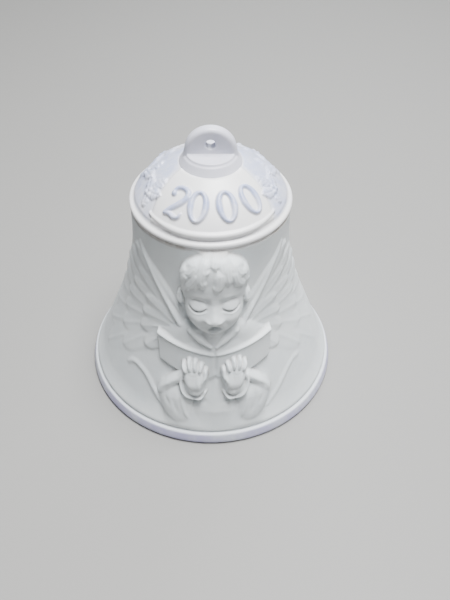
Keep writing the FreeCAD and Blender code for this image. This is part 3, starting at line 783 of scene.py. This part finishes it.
def draw_two(digit):
    top = [(-2.0, 6.5), (-1.5, 8.0), (0.1, 8.7), (1.9, 7.9), (2.1, 6.1), (0.9, 4.2), (-0.9, 2.3), (-2.0, 0.9)]
    base = [(-2.1, 0.75), (-0.6, 0.95), (0.9, 0.5), (2.1, 0.75), (2.4, 1.7)]
    digit.limb(curve(top), [0.5, 0.62, 0.72, 0.85, 0.9, 0.75, 0.55], [0.8], 0.1)
    digit.limb(curve(base), [0.5, 0.62, 0.7, 0.6, 0.35], [0.8], 0.1)
    digit.mound(-1.75, 6.45, 0.85, 0.85, 0.85, soft=0.1)


def draw_nought(digit):
    oval = [(2.05 * math.sin(t), 4.6 + 3.95 * math.cos(t)) for t in np.linspace(0, 2 * math.pi, 33)]
    digit.limb(oval, [0.5, 0.95, 0.5, 0.95, 0.5], [0.8], 0.1)


ground_paint, numeral_paint, numeral_foot = 0.62, 0.85, 3.1
paint = np.clip(-side_edge / 2.5 + 0.3, 0, 1) * ground_paint
for degrees, draw in ((-33.5, draw_two), (-12.0, draw_nought), (15.0, draw_nought), (40.0, draw_nought)):
    digit = beside(degrees)
    digit.up = digit.up - numeral_foot
    draw(digit)
    paint = np.maximum(paint, np.clip(digit.height / 0.35, 0, 1) * numeral_paint)
    dome.height += np.maximum(digit.height, 0)


def draw_leaf(plan, x, y, length, turn, top):
    """A holly leaf: points along both edges, a sunk midrib and raised veins."""
    c, s = math.cos(math.radians(turn)), math.sin(math.radians(turn))
    tip = (x + length * c, y + length * s)
    gap, way, _ = plan.along([(x, y), tip])
    width = 0.36 * length * np.sin(math.pi * np.clip(way, 0.02, 0.995)) ** 0.75
    width = width * (0.74 + 0.26 * np.abs(np.cos(way * math.pi * 3.5)) ** 0.7) + 0.02
    q = gap / width
    shape = np.where(q < 1, top * np.sqrt(np.clip(1 - q**3, 0, 1)), -1.2 * (q - 1))
    plan.raise_to(shape, 0.08)
    inside = (q < 1) & (way > 0.04) & (way < 0.96)
    plan.height -= np.where(inside, 0.2 * np.exp(-((gap / 0.16) ** 2)), 0)
    plan.height += np.where(inside, 0.05 * np.cos(way * 2 * math.pi * 5 - gap * 1.6), 0)


first_spray, last_spray, spray_step = 72, 292, 31.4
for degrees in np.arange(first_spray, last_spray, spray_step):
    spray = beside(float(degrees))
    flip = 1 if int(degrees) % 2 else -1
    draw_leaf(spray, 0.2, 5.2, 5.6, 90 + 62 * flip, 0.55)
    draw_leaf(spray, -0.3, 4.9, 5.4, 90 - 68 * flip, 0.6)
    draw_leaf(spray, 0.0, 4.6, 4.0, -90 + 30 * flip, 0.55)
    draw_leaf(spray, 0.2, 6.0, 5.4, 90 - 8 * flip, 0.6)
    for x, y in ((-0.75, 4.6), (0.75, 4.75), (0.0, 5.9)):
        spray.mound(x, y, 0.85, 0.85, 0.98, soft=0.05)
    paint = np.maximum(paint, np.clip(spray.height / 0.4, 0, 1) * ground_paint)
    dome.height += np.maximum(spray.height, 0)

edges = edges_of(crown_data)
full_height = np.zeros(len(co))
fade = np.clip((way_up + 1.1) / 0.4, 0, 1) * np.clip((dome_way[-1] - way_up) / 0.8, 0, 1)
full_height[on_top] = dome.height * fade
full_height = softened(full_height, edges, 1)
keep_hollows(crown_data, full_height, edges)
full_paint = np.zeros(len(co))
full_paint[on_top] = paint * fade
keep_values(crown_data, "paint", softened(full_paint, edges, 2))
slope_r = np.interp(way_up, dome_way, np.gradient(dome_z, dome_way))
slope_z = -np.interp(way_up, dome_way, np.gradient(dome_r, dome_way))
raised = full_height[on_top]
co[on_top, 0] = np.sin(dome_turn) * (dome_now + slope_r * raised)
co[on_top, 1] = -np.cos(dome_turn) * (dome_now + slope_r * raised)
co[on_top, 2] += slope_z * raised
move_points(crown_data, co)
pearl_glaze = clay_material(
    "pearl_glaze",
    (0.83, 0.835, 0.84),
    (0.79, 0.79, 0.83),
    (0.55, 0.54, 0.60),
    0.30,
    0.18,
    coat=0.35,
    tints=[
        ((0.29, 0.37, 0.68), painted("paint")),
        # painted shade: warm brown on the crown's neck, below and under its rolled lip
        ((0.20, 0.15, 0.11), by_height(crease - 0.2, crease + 0.45, 0.85, 0.0)),
    ],
)
put_in_scene("crown_casting", crown_data, "shell", pearl_glaze, "crown_dome")


# ---------------------------------------------------------------- hanging tab
# One small casting stuck on the dome with slip: a round boss and a pierced half-round ear that grows out of
# its sides. The two are joined, evened out into one skin and pinched in a little about the hole.
def block(name, bm):
    """A helper shape for cutting or joining, which isn't itself shown."""
    bmesh.ops.recalc_face_normals(bm, faces=bm.faces)
    shape = bpy.data.objects.new(name, made_mesh(name, bm))
    bpy.context.collection.objects.link(shape)
    return shape


foot_r, boss_r, shoulder, boss_top = 8.95, 7.75, 0.9, 80.5
boss_line = [(0.0, seat - 0.9), (foot_r, seat - 0.9), (foot_r - 0.1, seat), (foot_r - 0.55, seat + 0.7)]
boss_line += bend((boss_r, boss_top - shoulder), (boss_r - shoulder, boss_top), shoulder, 1, 6)
boss_line += [(0.0, boss_top)]
boss = block("boss_block", spun(boss_line, 96, closed=False))
ear_r, ear_foot, ear_centre, ear_deep, ear_edge = 7.25, 7.65, 80.8, 3.7, 1.35
ear = bmesh.new()
sides = [(-ear_foot, seat), (ear_foot, seat), (ear_foot, ear_centre - 1.0), (ear_r + 0.1, ear_centre)]
arch = [(ear_r * math.cos(t), ear_centre + ear_r * math.sin(t)) for t in np.linspace(0, math.pi, 60)[1:-1]]
arch += [(-ear_r - 0.1, ear_centre), (-ear_foot, ear_centre - 1.0)]
corners = [ear.verts.new((x * MM, -ear_deep / 2 * MM, z * MM)) for x, z in sides + arch]
face = ear.faces.new(corners)
moved = bmesh.ops.extrude_face_region(ear, geom=[face])["geom"]
moved = [item for item in moved if isinstance(item, bmesh.types.BMVert)]
bmesh.ops.translate(ear, verts=moved, vec=(0, ear_deep * MM, 0))
rims = []
for edge in ear.edges:
    one, other = edge.verts[0].co, edge.verts[1].co
    if abs(one.y - other.y) < 1e-6 and max(one.z, other.z) > (seat + 0.1) * MM:
        rims.append(edge)
bmesh.ops.bevel(ear, geom=rims, offset=ear_edge * MM, segments=6, profile=0.5, affect="EDGES", material=-1)
ear = block("ear_block", ear)
hole_at, hole_r = 83.3, 1.45
drill = bmesh.new()
drill_r, drill_length = hole_r * MM, 0.02
bmesh.ops.create_cone(
    drill, cap_ends=True, segments=48, radius1=drill_r, radius2=drill_r, depth=drill_length
)
bmesh.ops.rotate(drill, verts=drill.verts, matrix=Matrix.Rotation(math.pi / 2, 3, "X"))
bmesh.ops.translate(drill, verts=drill.verts, vec=(0, 0, hole_at * MM))
drill = block("hole_block", drill)
for operation, other in (("UNION", ear), ("DIFFERENCE", drill)):
    step = boss.modifiers.new(operation.lower(), "BOOLEAN")
    step.operation, step.object, step.solver = operation, other, "EXACT"
skin = boss.modifiers.new("skin", "REMESH")
skin.mode, skin.voxel_size = "VOXEL", 0.17 * MM
even = boss.modifiers.new("even", "SMOOTH")
even.factor, even.iterations = 0.5, 9
finished = boss.evaluated_get(bpy.context.evaluated_depsgraph_get())
tab_data = bpy.data.meshes.new_from_object(finished)
tab_data.name = "tab_casting"
for helper in (boss, ear, drill):
    bpy.data.objects.remove(helper)
co = points_of(tab_data)
on_ear = np.clip((co[:, 2] - boss_top - 0.1) / 1.2, 0, 1)
from_hole = np.hypot(co[:, 0], co[:, 2] - hole_at)
co[:, 1] *= 1 - on_ear * 0.16 * np.exp(-((from_hole / 3.4) ** 2))
move_points(tab_data, co)
tinted_bisque = clay_material(
    "tinted_bisque", (0.65, 0.655, 0.74), (0.59, 0.60, 0.70), (0.50, 0.47, 0.48), 0.36, 0.25, coat=0.15
)
put_in_scene("tab_casting", tab_data, "shell", tinted_bisque, "hanging_tab")


# ---------------------------------------------------------------- saddle, clapper and its fittings
# The pieces inside keep their plain shapes and get their own finishes: a bisque saddle, a drawn steel wire
# eye and clapper wire, turned brass washer, sleeve and ferrule, and a glazed porcelain ball.
def metal_material(name, bright, dull, roughness, lines, lines_way, tarnish):
    """Worn metal with fine lines one way, clouded by tarnish."""
    material = bpy.data.materials.new(name)
    material.use_nodes = True
    tree = Tree(material.node_tree)
    shader = tree.nodes["Principled BSDF"]
    place = tree.add("TexCoord").outputs["Object"]
    stretched = tree.add("Mapping", Vector=place, Scale=lines_way).outputs["Vector"]
    drawn = tree.noise(lines, 3.0, stretched)
    stain = tree.ramp(tree.noise(260.0, 4.0), 0.45, 0.68, 0.0, tarnish)
    spots = tree.ramp(tree.noise(1300.0, 2.0), 0.62, 0.74, 0.0, 0.6)
    share = tree.calc("MAXIMUM", stain, spots)
    tree.links.new(tree.mix(share, (*bright, 1), (*dull, 1)), shader.inputs["Base Color"])
    tree.links.new(tree.ramp(share, 0.0, 1.0, 1.0, 0.75), shader.inputs["Metallic"])
    rough = tree.calc("MULTIPLY_ADD", drawn, 0.18, roughness)
    tree.links.new(tree.calc("MULTIPLY_ADD", share, 0.25, rough), shader.inputs["Roughness"])
    height = tree.calc("MULTIPLY_ADD", share, -0.4, drawn)
    relief = tree.add("Bump", Height=height, Strength=0.25, Distance=0.00005)
    tree.links.new(relief.outputs["Normal"], shader.inputs["Normal"])
    return material


along_wire, round_axis = (1.0, 1.0, 0.06), (0.15, 0.15, 1.0)
steel = metal_material("drawn_steel", (0.62, 0.62, 0.61), (0.24, 0.20, 0.17), 0.24, 2600.0, along_wire, 0.55)
brass = metal_material("turned_brass", (0.80, 0.58, 0.26), (0.33, 0.23, 0.12), 0.26, 3800.0, round_axis, 0.6)
saddle_clay = clay_material(
    "saddle_bisque", (0.76, 0.77, 0.76), (0.66, 0.67, 0.67), (0.42, 0.38, 0.35), 0.55, 0.5
)
ball_glaze = clay_material(
    "ball_glaze",
    (0.82, 0.82, 0.80),
    (0.76, 0.77, 0.78),
    (0.45, 0.42, 0.38),
    0.20,
    0.12,
    coat=0.6,
    tints=[((0.50, 0.46, 0.42), lambda tree: tree.ramp(tree.noise(900.0, 5.0), 0.66, 0.78, 0.0, 0.6))],
)
finishes = {
    "clapper_saddle": saddle_clay,
    "eye_pin": steel,
    "clapper_wire": steel,
    "saddle_washer": brass,
    "crimp_sleeve": brass,
    "ball_ferrule": brass,
    "clapper_ball": ball_glaze,
}
for node, finish in finishes.items():
    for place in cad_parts[node].material_slots:
        place.material = finish
